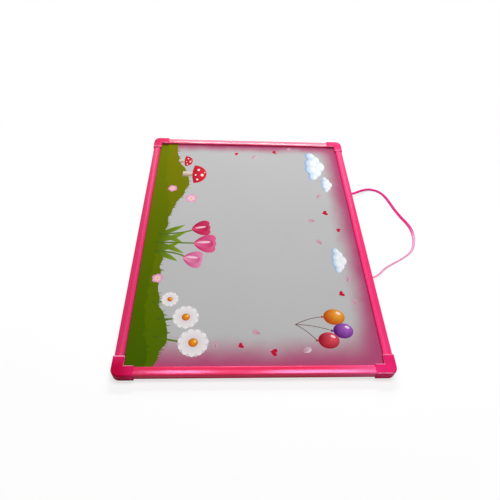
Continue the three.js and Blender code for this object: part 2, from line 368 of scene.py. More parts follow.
def add_knot(node, hole_y, material):
    """An overhand knot pulled tight, in the hollow of the rail."""
    half_x = (CHAMBER_DEPTH - RAIL_WALL) / 2 - KNOT_FIT - KNOT_STRAND
    half_z = (CHAMBER_ROOF - CHAMBER_FLOOR) / 2 - KNOT_FIT - KNOT_STRAND
    half_y = KNOT_LENGTH / 2 - KNOT_STRAND
    t = circle(KNOT_STEPS)
    # A trefoil, each of its directions brought to about 1 before it is stretched
    line = np.stack([
        -np.sin(3 * t) * half_x,
        (np.sin(t) + 2 * np.sin(2 * t)) / 2.8 * half_y,
        (np.cos(t) - 2 * np.cos(2 * t)) / 3 * half_z,
    ], axis=1)
    line[:, 2] -= (line[:, 2].max() + line[:, 2].min()) / 2
    line += [RAIL_FACE_X - (RAIL_WALL + CHAMBER_DEPTH) / 2, hole_y, CORD_HOLE_HEIGHT]
    tangent = np.roll(line, -1, axis=0) - np.roll(line, 1, axis=0)
    tangent /= np.linalg.norm(tangent, axis=1)[:, None]
    points = []
    for k in range(KNOT_STEPS):
        out = line[k] - line.mean(axis=0)
        out -= tangent[k] * out.dot(tangent[k])
        out /= np.linalg.norm(out)
        other = np.cross(tangent[k], out)
        radius = KNOT_STRAND * (1 - PLY_DEPTH * (1 + math.cos(k * 2 * math.pi / PLY_RINGS)))
        points += [tuple(line[k] + radius * (out * math.cos(a) + other * math.sin(a)))
                   for a in circle(KNOT_SIDES)]
    mesh = mesh_from(node + "_tied", points, skin(KNOT_STEPS, KNOT_SIDES, closed=True), smooth=60)
    mesh.materials.append(material)
    return link(node + "_tied", mesh, replaces=[node])


# Rails

RAIL_ROUND_SIDES, RAIL_CUTS = 10, 12
# Specular level and tint, the plastic's two clouded shades, the painted shade of its left part, and the
# paler painted highlight of its right end
SIDE_FINISH = (0.5, (1, 0.46, 0.8, 1), (0.89, 0.018, 0.155, 1), (0.96, 0.025, 0.182, 1),
               (0.58, 0.012, 0.085, 1), None)
FAR_FINISH = (1.0, (1, 0.82, 0.76, 1), *SIDE_FINISH[2:])
NEAR_FINISH = (0.68, (1, 0.48, 0.92, 1), (0.89, 0.002, 0.062, 1), (0.96, 0.004, 0.078, 1),
               (0.58, 0.0, 0.04, 1), (0.97, 0.075, 0.25, 1))
# Anticlockwise from the near rail
RAIL_NODES = ("rail_near", "rail_right", "rail_far", "rail_left")
RAIL_FINISHES = (NEAR_FINISH, SIDE_FINISH, FAR_FINISH, SIDE_FINISH)
HOLE_SIDES = 48
# A cord hole and its slightly broken outer edge: (out from the rail's face, growth of the radius)
HOLE_RINGS = [(0.4 - 2 * RAIL_WALL, 0), (-0.35, 0), (-0.12, 0.1), (0.02, 0.36), (1, 1.4)]


def rail_outline(with_slot, grow):
    """The rail's section, grown all round for the sleeve that fits over it."""
    bottom = RAIL_BOTTOM - grow

    def crown(inset):
        return RAIL_TOP + grow - crown_drop(inset)

    slot = [(RAIL_WIDTH, SLOT_FLOOR, 0), (SLOT_ROOT, SLOT_FLOOR, 0),
            (SLOT_ROOT, SLOT_ROOF, 0), (RAIL_WIDTH, SLOT_ROOF, 0)]
    from_inset, to_inset = RAIL_WIDTH - 2 * RAIL_LIP_RADIUS, RAIL_TOP_RADIUS
    crowned = []
    for k in range(RAIL_ROUND_SIDES + 1):
        inset = from_inset + (to_inset - from_inset) * k / RAIL_ROUND_SIDES
        crowned.append((inset, crown(inset), 0))
    return rounded([
        (-grow, bottom, RAIL_BOTTOM_RADIUS + grow),
        (RAIL_WIDTH + grow, bottom, 0),
        *(slot if with_slot else []),
        (RAIL_WIDTH + grow, crown(RAIL_WIDTH), RAIL_LIP_RADIUS + grow),
        *crowned,
        (-grow, crown(0), RAIL_TOP_RADIUS + grow),
    ], RAIL_ROUND_SIDES)


def chamber_outline(shrink):
    """The section of the rail's hollow, shrunk all round for the plug that fits in it."""
    low, high = CHAMBER_FLOOR + shrink, CHAMBER_ROOF - shrink
    return rounded([
        (RAIL_WALL + shrink, low, 0),
        (CHAMBER_DEPTH - shrink, low, 0),
        (CHAMBER_DEPTH - shrink, high, 0),
        (RAIL_WALL + shrink, high, RAIL_TOP_RADIUS - RAIL_WALL),
    ], RAIL_ROUND_SIDES)


def hole_cutter(y):
    points = []
    for out, growth in HOLE_RINGS:
        radius = CORD_WIDTH / 2 + CORD_HOLE_FIT + growth
        points += [(RAIL_FACE_X + out, y + radius * math.cos(a), CORD_HOLE_HEIGHT + radius * math.sin(a))
                   for a in circle(HOLE_SIDES)]
    return mesh_from("cutter", points, skin(len(HOLE_RINGS), HOLE_SIDES))


def add_rails():
    for quarters, (node, finish) in enumerate(zip(RAIL_NODES, RAIL_FINISHES)):
        along, across = (BOARD_DEPTH, BOARD_WIDTH) if quarters % 2 else (BOARD_WIDTH, BOARD_DEPTH)
        heading = quarters * math.pi / 2
        turn = Matrix.Rotation(heading, 3, "Z")
        offset = Vector((math.sin(heading), -math.cos(heading), 0)) * (across / 2 - RAIL_INSET)

        def place(inset, height, x):
            return tuple(turn @ Vector((x, inset, height)) + offset)

        half = along / 2 - RAIL_SETBACK
        outlines = [rail_outline(True, 0), chamber_outline(0)]
        mesh = mesh_from(node + "_profile", *prism(outlines, place, -half, half, RAIL_CUTS))
        if node == "rail_right":
            mesh = combined(mesh, [hole_cutter(y) for y in CORD_HOLES_Y], "DIFFERENCE")
        tidy(mesh, smooth=35)
        mesh.materials.append(rail_material(node, "xy"[quarters % 2], finish))
        link(node + "_profile", mesh, replaces=[node])


# Corner caps

CAP_NODES = ("cap_near_left", "cap_near_right", "cap_far_right", "cap_far_left")
CAP_ROUND_SIDES, CAP_PLAN_STEPS = 8, 18
CAP_BEVEL, CAP_BEVEL_SEGMENTS, CAP_BEVEL_ANGLE, CAP_SMOOTH_ANGLE = 0.4, 3, 40, 50


def corner_sweep(outline):
    """Sweeps an outline of (inset, height) round the corner at the origin, from +X to +Y."""
    stations = [lambda inset, z: (CAP_LEG, inset, z)]
    for k in range(CAP_PLAN_STEPS + 1):
        angle = -math.pi / 2 * (1 + k / CAP_PLAN_STEPS)

        def station(inset, z, angle=angle):
            reach = max(0, CAP_PLAN_RADIUS - inset)
            middle = max(inset, CAP_PLAN_RADIUS)
            return (middle + reach * math.cos(angle), middle + reach * math.sin(angle), z)

        stations.append(station)
    stations.append(lambda inset, z: (inset, CAP_LEG, z))
    points = [station(*p) for station in stations for p in outline]
    return mesh_from("hood", points, skin(len(stations), len(outline)))


def across_diagonal(points):
    return [(y, x, z) for x, y, z in points]


def cap_mesh():
    """The cap at the origin's corner: a hood, hollowed for the panel and two rails, with two plugs."""
    outline = rounded([
        (0, 0, CAP_BOTTOM_RADIUS),
        (CAP_WIDTH, 0, 0),
        (CAP_WIDTH, CAP_TOP, CAP_LIP_RADIUS),
        (0, CAP_TOP, CAP_TOP_RADIUS),
    ], CAP_ROUND_SIDES)
    hood = corner_sweep(outline)

    def along_x(inset, height, x):
        return (x, inset + RAIL_INSET, height)

    low, high = RAIL_INSET + SLOT_ROOT, CAP_LEG + PLUG_LENGTH
    pocket = prism([[(low, low), (high, low), (high, high), (low, high)]],
                   lambda x, y, z: (x, y, z), SLOT_FLOOR, SLOT_ROOF)
    sleeve = prism([rail_outline(False, CAP_FIT)], along_x, CAP_WIDTH, high)
    plug = prism([chamber_outline(PLUG_FIT)], along_x, CAP_WIDTH - CAP_WALL, CAP_WIDTH + PLUG_LENGTH)
    cutters = [mesh_from("cutter", *s) for s in
               (pocket, sleeve, (across_diagonal(sleeve[0]), sleeve[1]))]
    plugs = [mesh_from("plug", *s) for s in (plug, (across_diagonal(plug[0]), plug[1]))]
    return combined(combined(hood, cutters, "DIFFERENCE"), plugs, "UNION")


def add_caps():
    base, material = cap_mesh(), cap_material()
    for quarters, (node, (side_x, side_y)) in enumerate(zip(CAP_NODES, CORNERS)):
        mesh = base.copy()
        corner = Vector((side_x * BOARD_WIDTH, side_y * BOARD_DEPTH, 0)) / 2 * MM
        mesh.transform(Matrix.Translation(corner) @ Matrix.Rotation(quarters * math.pi / 2, 4, "Z"))
        cap = link(node + "_moulding", mesh, replaces=[node])
        bevel = cap.modifiers.new("edges", "BEVEL")
        bevel.width = CAP_BEVEL * MM
        bevel.segments = CAP_BEVEL_SEGMENTS
        bevel.limit_method = "ANGLE"
        bevel.angle_limit = math.radians(CAP_BEVEL_ANGLE)
        mesh.shade_smooth()
        mesh.set_sharp_from_angle(angle=math.radians(CAP_SMOOTH_ANGLE))
        mesh.materials.append(material)


# Node trees

def plug_in(tree, value, socket):
    if isinstance(value, bpy.types.NodeSocket):
        tree.links.new(value, socket)
    else:
        socket.default_value = value


def dress(material, **values):
    """The material, with values plugged in to its shader's sockets, such as Base_Color."""
    for key, value in values.items():
        shader = material.node_tree.nodes["Principled BSDF"]
        plug_in(material.node_tree, value, shader.inputs[key.replace("_", " ")])
    return material


def new_material(name, **values):
    """A new material, its tree, and the place on the object in metres."""
    material = bpy.data.materials.new(name)
    material.use_nodes = True
    return dress(material, **values), material.node_tree, object_place(material.node_tree)


def node(tree, kind, inputs, **settings):
    made = tree.nodes.new("ShaderNode" + kind)
    for key, value in settings.items():
        setattr(made, key, value)
    for key, value in inputs.items():
        plug_in(tree, value, made.inputs[key])
    return made


def object_place(tree):
    return node(tree, "TexCoord", {}).outputs["Object"]


def attribute(tree, name):
    return node(tree, "Attribute", {}, attribute_name=name).outputs


def xyz(tree, vector):
    return node(tree, "SeparateXYZ", {0: vector}).outputs


def maths(tree, operation, *values):
    return node(tree, "Math", dict(enumerate(values)), operation=operation).outputs[0]


def product(tree, *values):
    result = values[0]
    for value in values[1:]:
        result = maths(tree, "MULTIPLY", result, value)
    return result


def mix(tree, factor, a, b):
    """A blend of two colours."""
    made = tree.nodes.new("ShaderNodeMix")
    made.data_type = "RGBA"
    # The factor and the two colours
    for index, value in ((0, factor), (6, a), (7, b)):
        plug_in(tree, value, made.inputs[index])
    return made.outputs[2]


def ranged(tree, value, low, high, to_low=0.0, to_high=1.0):
    """A smooth step from to_low at low to to_high at high."""
    inputs = {0: value, 1: low, 2: high, 3: to_low, 4: to_high}
    return node(tree, "MapRange", inputs, interpolation_type="SMOOTHSTEP").outputs[0]


def noise(tree, vector, scale, detail=2.0, roughness=0.5, stretch=None):
    if stretch:
        vector = node(tree, "Mapping", {"Vector": vector, "Scale": stretch}).outputs[0]
    inputs = {"Vector": vector, "Scale": scale, "Detail": detail, "Roughness": roughness}
    return node(tree, "TexNoise", inputs).outputs[0]


def tinted(tree, colour, code, *covers):
    """A colour under a tint, whose cover is the product of the covers."""
    return mix(tree, product(tree, *covers), colour, linear(code))


def clouds(tree, pattern, a, b):
    """Two colours, clouded by a noise."""
    return mix(tree, ranged(tree, pattern, *CLOUDED), a, b)


def bump(tree, height, distance, strength, normal=None):
    made = node(tree, "Bump", {"Height": height, "Distance": distance, "Strength": strength})
    if normal is not None:
        tree.links.new(normal, made.inputs["Normal"])
    return made.outputs[0]


def linear(code, alpha=1.0):
    """A hex colour as linear numbers."""
    parts = [int(code[i : i + 2], 16) / 255 for i in (0, 2, 4)]
    return (*[c / 12.92 if c <= 0.04045 else ((c + 0.055) / 1.055) ** 2.4 for c in parts], alpha)


# Materials. Their distances are metres, and each pair is where a change starts and ends.

CLOUDED = (0.3, 0.7)
# Where the rails' painted shade and painted highlight change along X
RAIL_PAINTED_SHADE_X, RAIL_PAINTED_HIGHLIGHT_X = (-0.15, -0.06), (0.06, 0.135)
# How far short of an edge the side rails' dull rub and the caps' painted highlights start and are full, in
# millimetres
RAIL_RUBBED, CAP_GLINT_REACH, CAP_CORNER_GLINT_REACH, CAP_TOP_GLINT_REACH = (4.6, 1.8), (1.5, 0.8), (0.6, 0), (2, 0.9)
CAP_GLOSS, CAP_SHADES = (1, 0.2, 0.45, 1), ((0.88, 0.016, 0.158, 1), (0.96, 0.025, 0.192, 1))
# The darkest colour of the caps' painted shade
CAP_PAINTED_SHADE = (0.52, 0.0, 0.035, 1)
# Along X plus this share of Y
CAP_PAINTED_SHADE_SPAN, CAP_PAINTED_SHADE_SLANT = (-0.08, 0.03), 0.55
# The painted shade fades over this reach in from the edges, so the mouths are painted paler
CAP_PAINTED_SHADE_REACH = (0.009, 0.024)
# The caps' painted highlight along the right outer top edge: in from the outer edge, and where along X
CAP_RIM_GLINT, CAP_RIM_GLINT_END, CAP_RIM_GLINT_X = (0.0008, 0.0012), (0.0014, 0.002), (0.12, 0.13)
# Where the cord's painted highlight rises and eases along it, and how far across its middle it is full
CORD_SHEEN_RISE, CORD_SHEEN_EASE, CORD_SHEEN_MIDDLE = (0.137, 0.168), (0.182, 0.205), (0.0005, 0.0018)
GLOW, GLOW_CORNER, GLOW_RIGHT, GLOW_NEAR, GLOW_FAR = (0.44, 0.056, 0.17, 1), 0.086, 0.031, 0.042, 0.022


def inset_from(tree, size, coordinate):
    """How far a place is in from the board's edge."""
    return maths(tree, "SUBTRACT", size / 2 * MM, maths(tree, "ABSOLUTE", coordinate))


def short_of(edge, reaches):
    return [(edge - reach) * MM for reach in reaches]


def rail_material(name, axis, finish):
    """Glossy extruded plastic, with the die's fine lines along the rail."""
    level, tint, dull, bright, painted_shade_colour, painted_highlight = finish
    material, tree, place = new_material(name + "_plastic", Specular_IOR_Level=level, Specular_Tint=tint)
    cloudy = noise(tree, place, 14, 3)
    colour = clouds(tree, cloudy, dull, bright)
    # Painted shade: the left-hand length and the near one's left end are painted a shade deeper, where less
    # light falls
    x = xyz(tree, place)[0]
    colour = mix(tree, ranged(tree, x, *RAIL_PAINTED_SHADE_X, 0.62, 0.0), colour, painted_shade_colour)
    # Painted highlight: the near rail's right end is painted paler, where light catches it
    if painted_highlight:
        colour = mix(tree, ranged(tree, x, *RAIL_PAINTED_HIGHLIGHT_X), colour, painted_highlight)
    lines_run, scuffs_run = ((run, 1, 1) if axis == "x" else (1, run, 1) for run in (0.012, 0.12))
    lines = noise(tree, place, 900, 2, stretch=lines_run)
    scuffs = ranged(tree, noise(tree, place, 260, 3, 0.6, stretch=scuffs_run), 0.66, 0.74)
    scuffs = product(tree, scuffs, ranged(tree, noise(tree, place, 22, 2), 0.52, 0.62))
    colour = tinted(tree, colour, "ffa9c6", scuffs, 0.3)
    rough = maths(tree, "MULTIPLY_ADD", cloudy, 0.06, 0.16)
    if axis == "y":
        # The side lengths are rubbed dull along their inner edges
        ends = short_of(RAIL_INSET + RAIL_WIDTH, RAIL_RUBBED)
        rubbed = ranged(tree, inset_from(tree, BOARD_WIDTH, x), *ends, 0.0, 0.5)
        rough = maths(tree, "ADD", rough, rubbed)
    normal = bump(tree, lines, 0.00001, 0.5)
    return dress(material, Base_Color=colour, Roughness=maths(tree, "MULTIPLY_ADD", scuffs, 0.22, rough),
                 Normal=bump(tree, scuffs, 0.00002, 0.4, normal))


def cap_material():
    """Satin moulded plastic, a deeper pink than the rails."""
    material, tree, place = new_material("cap_plastic", Specular_IOR_Level=0.1, Specular_Tint=CAP_GLOSS)
    x, y, z = xyz(tree, place)
    colour = clouds(tree, noise(tree, place, 45, 3), *CAP_SHADES)
    # Painted shade: the near-left moulding is painted the deepest, and then the far-left one, where less
    # light falls. All are painted paler towards their mouths.
    painted_shade = ranged(tree, maths(tree, "MULTIPLY_ADD", y, CAP_PAINTED_SHADE_SLANT, x), *CAP_PAINTED_SHADE_SPAN, 1.0, 0.0)
    inset_x, inset_y = inset_from(tree, BOARD_WIDTH, x), inset_from(tree, BOARD_DEPTH, y)
    reach = maths(tree, "MAXIMUM", inset_x, inset_y)
    painted_shade = product(tree, painted_shade, ranged(tree, reach, *CAP_PAINTED_SHADE_REACH, 0.9, 0.35))
    colour = mix(tree, painted_shade, colour, CAP_PAINTED_SHADE)
    grain = noise(tree, place, 2600, 2, 0.6)
    rub = ranged(tree, noise(tree, place, 320, 4, 0.65), 0.62, 0.76)
    colour = tinted(tree, colour, "ff6fa4", rub, 0.1)
    # Painted highlights: pale glints where an edge runs along X: inner lips, mouths and, at the right,
    # outer top edges
    lip = product(tree, ranged(tree, inset_y, *short_of(CAP_WIDTH, CAP_GLINT_REACH)),
                  ranged(tree, inset_x, *short_of(CAP_WIDTH, CAP_CORNER_GLINT_REACH)))
    mouth = ranged(tree, inset_y, *short_of(CAP_LEG, CAP_GLINT_REACH))
    glint_edges = maths(tree, "MAXIMUM", lip, mouth)
    upper = ranged(tree, z, *short_of(CAP_TOP, CAP_TOP_GLINT_REACH))
    rim_glint = product(tree, ranged(tree, inset_y, *CAP_RIM_GLINT), ranged(tree, inset_y, *CAP_RIM_GLINT_END, 1.0, 0.0),
                  ranged(tree, x, *CAP_RIM_GLINT_X))
    patchy = ranged(tree, noise(tree, place, 110, 3, 0.6), 0.36, 0.56, 0.4, 1.0)
    colour = tinted(tree, colour, "ffa6cc", glint_edges, upper, patchy)
    colour = tinted(tree, colour, "ffb4dc", rim_glint, patchy)
    rough = maths(tree, "MULTIPLY_ADD", grain, 0.1, 0.2)
    return dress(material, Base_Color=colour, Roughness=maths(tree, "MULTIPLY_ADD", rub, 0.12, rough),
                 Normal=bump(tree, grain, 0.00003, 0.5))


def cord_material():
    """Braided yarn with a satin sheen."""
    material, tree, place = new_material("cord_braid", Specular_IOR_Level=0.15, Sheen_Weight=0.08,
                                          Sheen_Roughness=0.4, Sheen_Tint=linear("ffc4e4"))
    colour = clouds(tree, noise(tree, place, 600, 3), linear("e60a7e"), linear("f82296"))
    # The far half of the loop keeps the deep colour. The rest is painted pale, a painted highlight, most at
    # the bend and along its middle.
    run, across, _ = xyz(tree, attribute(tree, "run")["Vector"])
    uneven = maths(tree, "MULTIPLY_ADD", noise(tree, place, 60, 2), 0.03, run)
    painted_sheen = product(tree, ranged(tree, uneven, *CORD_SHEEN_RISE, 0.0, 0.9),
                    ranged(tree, uneven, *CORD_SHEEN_EASE, 1.0, 0.8))
    middle = ranged(tree, maths(tree, "ABSOLUTE", across), *CORD_SHEEN_MIDDLE, 1.0, 0.45)
    colour = tinted(tree, colour, "fcbde6", painted_sheen, middle)
    fibres = noise(tree, place, 5200, 2, 0.7)
    return dress(material, Base_Color=colour, Roughness=maths(tree, "MULTIPLY_ADD", fibres, 0.15, 0.42),
                 Normal=bump(tree, fibres, 0.00005, 0.5))


def core_material():
    """Fibreboard: short pale and dark fibres with a pressed surface."""
    material, tree, place = new_material("core_fibreboard", Roughness=0.85)
    fibres = noise(tree, place, 900, 4, 0.65, stretch=(1, 0.25, 3))
    colour = mix(tree, ranged(tree, fibres, 0.35, 0.65), linear("a98458"), linear("d0b083"))
    return dress(material, Base_Color=colour, Normal=bump(tree, fibres, 0.00008, 0.6))


def back_material():
    """Liner paper: warm white, with fibres, faint cockling and a few handling marks."""
    material, tree, place = new_material("back_liner_paper", Roughness=0.68)
    broad = noise(tree, place, 7, 3)
    fibres = noise(tree, place, 1400, 3, 0.7, stretch=(1, 0.3, 1))
    specks = ranged(tree, noise(tree, place, 700, 2), 0.7, 0.78)
    scuff = ranged(tree, noise(tree, place, 60, 4, 0.7, stretch=(1, 0.35, 1)), 0.62, 0.8)
    colour = clouds(tree, broad, linear("dcd6ca"), linear("e6e2d9"))
    colour = tinted(tree, colour, "c9c1b1", fibres, 0.25)
    colour = tinted(tree, colour, "a3957c", specks, 0.5)
    colour = tinted(tree, colour, "b9b1a4", scuff, 0.3)
    normal = bump(tree, fibres, 0.00004, 0.6)
    return dress(material, Base_Color=colour, Normal=bump(tree, broad, 0.0006, 0.4, normal))


def sheet_material():
    """The print, which is a colour attribute, in a pink glow under a clear, wiped film."""
    material, tree, place = new_material("sheet_print", Specular_IOR_Level=0.012)
    x, y, _ = xyz(tree, place)
    waver = maths(tree, "MULTIPLY_ADD", noise(tree, place, 22, 3, 0.55), 0.016, -0.008)
    lip_x, lip_y = ((size / 2 - RAIL_INSET - RAIL_WIDTH) * MM for size in (BOARD_WIDTH, BOARD_DEPTH))
    right, near = maths(tree, "SUBTRACT", lip_x, x), maths(tree, "ADD", y, lip_y)
    far = maths(tree, "SUBTRACT", lip_y, y)
    corner = maths(tree, "ADD", right, near)
    edges = (corner, GLOW_CORNER), (right, GLOW_RIGHT), (near, GLOW_NEAR), (far, GLOW_FAR)
    clear = [ranged(tree, maths(tree, "ADD", distance, waver), 0.0, depth) for distance, depth in edges]
    pink = maths(tree, "SUBTRACT", 1.0, product(tree, *clear))
    base = mix(tree, noise(tree, place, 9, 2), linear("bcbcbd"), linear("c1c1c2"))
    base = mix(tree, product(tree, pink, 0.96), base, GLOW)
    ink = attribute(tree, "print")
    base = mix(tree, ink["Alpha"], base, ink["Color"])
    base = tinted(tree, base, "000000", noise(tree, place, 2400, 2), 0.05)
    ghost = ranged(tree, noise(tree, place, 34, 4, 0.6, stretch=(1, 0.4, 1)), 0.58, 0.8)
    base = tinted(tree, base, "7d8490", ghost, 0.025)
    smear = noise(tree, place, 40, 4, 0.6, stretch=(1, 0.3, 1))
    return dress(material, Base_Color=base, Roughness=maths(tree, "MULTIPLY_ADD", smear, 0.14, 0.42),
                 Normal=bump(tree, noise(tree, place, 12, 2), 0.0004, 0.25))


# The print. Its canvas has a to the right and b upwards, as the board hangs: the cord's side is the top.

CANVAS_A, CANVAS_B = BOARD_DEPTH / 2 - PANEL_INSET, BOARD_WIDTH / 2 - PANEL_INSET
# How far the hills go past the canvas
BLEED = 2
HILL_STEPS, GRASS_BLADES = 190, 90
# The sheet's mesh between the shapes
GRID_COLUMNS, GRID_ROWS, GRID_SHIFT = 38, 28, 0.2
shapes = []


def beside(at, x, y, size=1.0):
    return (at[0] + x * size, at[1] + y * size)


def paint(outline, shade, at=(0, 0), turn=0.0, size=1.0):
    """Adds a closed shape over the earlier ones, at a point, turned and sized.

    shade(a, b) gives linear red, green, blue and cover.
    """
    c, s = math.cos(turn), math.sin(turn)
    shapes.append(([beside(at, p * c - q * s, p * s + q * c, size) for p, q in outline], shade))


def plain(code, cover=1.0):
    colour = linear(code, cover)
    return lambda a, b: colour


def ramp(code_a, code_b, cover, share):
    """A shade that goes from one colour to another as share(a, b) goes from 0 to 1."""
    low, high = (np.array(linear(code, cover)) for code in (code_a, code_b))
    return lambda a, b: low + (high - low) * min(1, max(0, share(a, b)))


def blended(code_a, code_b, start, end, cover=1.0):
    """A shade that goes from one colour at start to another at end."""
    run = np.array(end, float) - start
    return ramp(code_a, code_b, cover, lambda a, b: np.subtract((a, b), start) @ run / (run @ run))


def ringed(code_a, code_b, centre, radius):
    """A shade that goes from one colour at the centre to another at the radius."""
    return ramp(code_a, code_b, 1.0, lambda a, b: math.dist((a, b), centre) / radius)


def oval(width, height):
    return [(width / 2 * math.cos(t), height / 2 * math.sin(t)) for t in circle(32)]


def petal(length, width, point):
    """A petal from the origin upwards. Its foot is round at point 0, and a wedge at 0.5."""
    points = []
    for t in circle(24):
        along = (1 - math.cos(t)) / 2
        points.append((width / 2 * math.sin(t) * along**point * 1.25, length * along))
    return points


def leaf(length, width, bend=0.0, count=12):
    """A leaf from the origin upwards, its tip bent to the right."""
    points = []
    for side, steps in (1, range(count)), (-1, range(count, 0, -1)):
        for k in steps:
            t = k / count
            points.append((side * width / 2 * math.sin(math.pi * t) + bend * t**2, length * t))
    return points


def heart(size):
    points = []
    for t in circle(36):
        height = 13 * math.cos(t) - 5 * math.cos(2 * t) - 2 * math.cos(3 * t) - math.cos(4 * t)
        points.append((size * math.sin(t) ** 3 / 2, size * height / 32))
    return points


def band(line, width_start, width_end):
    """A strip along points, such as a stem or a string."""
    line = np.array(line, float)
    tangent = np.gradient(line, axis=0)
    tangent /= np.linalg.norm(tangent, axis=1)[:, None]
    side = np.stack([-tangent[:, 1], tangent[:, 0]], axis=1)
    half = np.linspace(width_start, width_end, len(line))[:, None] / 2
    return [tuple(p) for p in line + side * half] + [tuple(p) for p in (line - side * half)[::-1]]


def curve(start, middle, end, count=12):
    """Points on a curve that a middle point pulls towards itself."""
    t = np.linspace(0, 1, count)[:, None]
    start, middle, end = (np.array(p, float) for p in (start, middle, end))
    return (1 - t) ** 2 * start + 2 * t * (1 - t) * middle + t**2 * end


def paint_hill(base, bumps, code_left, code_right, scallop, rng):
    """A meadow's edge: soft bumps of (centre, half width, height) on a base, scallops and grass blades."""
    reach = CANVAS_A + BLEED
    top = []
    for k in range(HILL_STEPS + 1):
        a = -reach + 2 * reach * k / HILL_STEPS
        height = sum((rise * math.exp(-(((a - centre) / half) ** 2)) for centre, half, rise in bumps), base)
        wave = abs(math.sin(a / scallop)) ** 0.7 * 2.2 + 0.6 * math.sin(a / 3.1)
        top.append((a, height - CANVAS_B + wave))
    shade = blended(code_left, code_right, (-CANVAS_A, 0), (CANVAS_A, 0))
    paint([*top, (reach, -CANVAS_B - BLEED), (-reach, -CANVAS_B - BLEED)], shade)
    for _ in range(GRASS_BLADES):
        a, b = top[rng.randrange(4, HILL_STEPS - 4)]
        lean = rng.uniform(-1.4, 1.4)
        tall = rng.uniform(2.5, 5.5)
        paint([(a - 0.8, b - 2), (a + 0.8, b - 2), (a + lean, b + tall)], shade)


def paint_tulip(at, tall, lean, code_dark, code_light, head):
    """A tulip from its foot. head is the length of its flower."""
    top = beside(at, lean, tall - head * 0.8)
    stem = curve(at, beside(at, 0, tall * 0.5), top)
    paint(band(stem, 3, 2.2), blended("4d6410", "6f8a1c", at, top))
    for side in (-1, 1):
        shade = blended("4a6310", "86a02a", at, beside(at, 0, tall * 0.55))
        paint(leaf(tall * 0.55, 7.5, bend=side * 6), shade, beside(at, side * 0.8, 0), -side * 0.28)
    low, high = beside(top, 0, -0.15, head), beside(top, 0, 1, head)
    turn = -lean / tall
    outer, inner = blended(code_dark, code_light, low, high), blended(code_light, code_dark, low, high)
    paint(petal(head, head * 0.62, 0.35), outer, low, turn)
    for side in (-1, 1):
        paint(petal(head * 1.02, head * 0.52, 0.35), outer, beside(low, side, 0), turn - side * 0.34)
    paint(petal(head * 0.86, head * 0.5, 0.3), inner, low, turn)
    paint(petal(head * 0.6, head * 0.12, 0.3), plain("ffe3ef", 0.7), beside(low, -1.4, 4), turn + 0.08)


def paint_petals(petal_shape, count, at, turn, shade):
    for k in range(count):
        paint(petal_shape, shade, at, turn + k * 2 * math.pi / count)


def paint_daisy(at, size, foot, turn):
    """A daisy with two rings of petals, on a stem from its foot."""
    stem = curve(foot, ((foot[0] + at[0]) / 2 + 3, (foot[1] + at[1]) / 2), at)
    paint(band(stem, 2.6, 1.8), blended("4a6210", "728c20", foot, at))
    count = 11
    for ahead, code_in, code_out in (0.5, "b9a9b4", "d8cfd6"), (0.0, "d9cdd6", "f3f1ee"):
        paint_petals(petal(size / 2, size * 0.24, 0.5), count, at, turn + ahead * 2 * math.pi / count,
                     ringed(code_in, code_out, at, size / 2))
    eye = ringed("f5a623", "c8590c", beside(at, -1, 1), size * 0.2)
    paint(oval(0.31, 0.31), eye, at, 0, size)
    paint(oval(0.1, 0.07), plain("ffe08a", 0.8), beside(at, -0.05, 0.06, size), 0, size)


def paint_blossom(at, size, code_in, code_out, turn):
    paint_petals(petal(size / 2, size * 0.4, 0.25), 5, at, turn, ringed(code_in, code_out, at, size / 2))
    paint(oval(0.2, 0.2), plain("e8b321"), at, 0, size)


def paint_toadstool(at, size):
    """A white-spotted red cap on a pale stem."""
    paint([(-0.15, 0), (0.15, 0), (0.11, 0.5), (-0.11, 0.5)],
          blended("8a6a4c", "e9dccb", beside(at, 0.15, 0, size), beside(at, -0.12, 0, size)), at, 0, size)
    cap = [(0.5 * math.cos(t), 0.42 + 0.46 * math.sin(t)) for t in np.linspace(0, math.pi, 26)]
    cap += [(x, 0.42 - 0.07 * math.cos(math.pi * x)) for x in np.linspace(-0.46, 0.46, 12)]
    paint(cap, blended("8f0d22", "e2283c", at, beside(at, -0.1, 0.85, size)), at, 0, size)
    for x, y, wide in ((-0.24, 0.58, 0.12), (0.05, 0.72, 0.14), (0.3, 0.55, 0.1), (0.05, 0.48, 0.08),
                       (-0.1, 0.81, 0.055)):
        paint(oval(wide, wide * 0.8), plain("f2efec"), beside(at, x, y, size), 0, size)


def paint_cloud(at, size):
    """Round puffs in three layers, each whiter than the one below."""
    puffs = [(-0.42, 0.02, 0.24), (-0.24, 0.1, 0.34), (0.02, 0.16, 0.44), (0.26, 0.08, 0.36),
             (0.44, 0.01, 0.22), (-0.1, 0.0, 0.3), (0.14, -0.01, 0.3)]
    layers = [(1.16, -0.03, "8db4dc", "b9d2ea"), (1.0, 0, "c3d8ec", "f1f4f7"),
              (0.62, 0.045, "e6edf3", "fbfcfc")]
    for grow, lift, low, high in layers:
        for x, y, width in puffs:
            middle = beside(at, x, y + lift, size)
            foot, head = (beside(middle, 0, up * width, size) for up in (-0.45, 0.4))
            shade = blended(low, high, foot, head, cover=0.96)
            paint(oval(width, width * 0.86), shade, middle, 0, size * grow)


def paint_balloon(at, size, code_dark, code_light, to):
    """A balloon with its knot, a gleam and a string to a point."""
    foot = beside(at, 0, -0.56, size)
    string = curve(foot, ((foot[0] + to[0]) / 2 - 4, (foot[1] + to[1]) / 2), to, 16)
    paint(band(string, 0.8, 0.8), plain("6b3b26"))
    shade = ringed(code_light, code_dark, beside(at, -0.15, 0.2, size), size * 0.62)
    paint(oval(0.84, 1), shade, at, 0, size)
    paint([(0, 2.4), (-1.9, -1), (1.9, -1)], plain(code_dark), foot)
    paint(oval(0.13, 0.24), plain("fff4f4", 0.75), beside(at, -0.2, 0.22, size), -0.5, size)


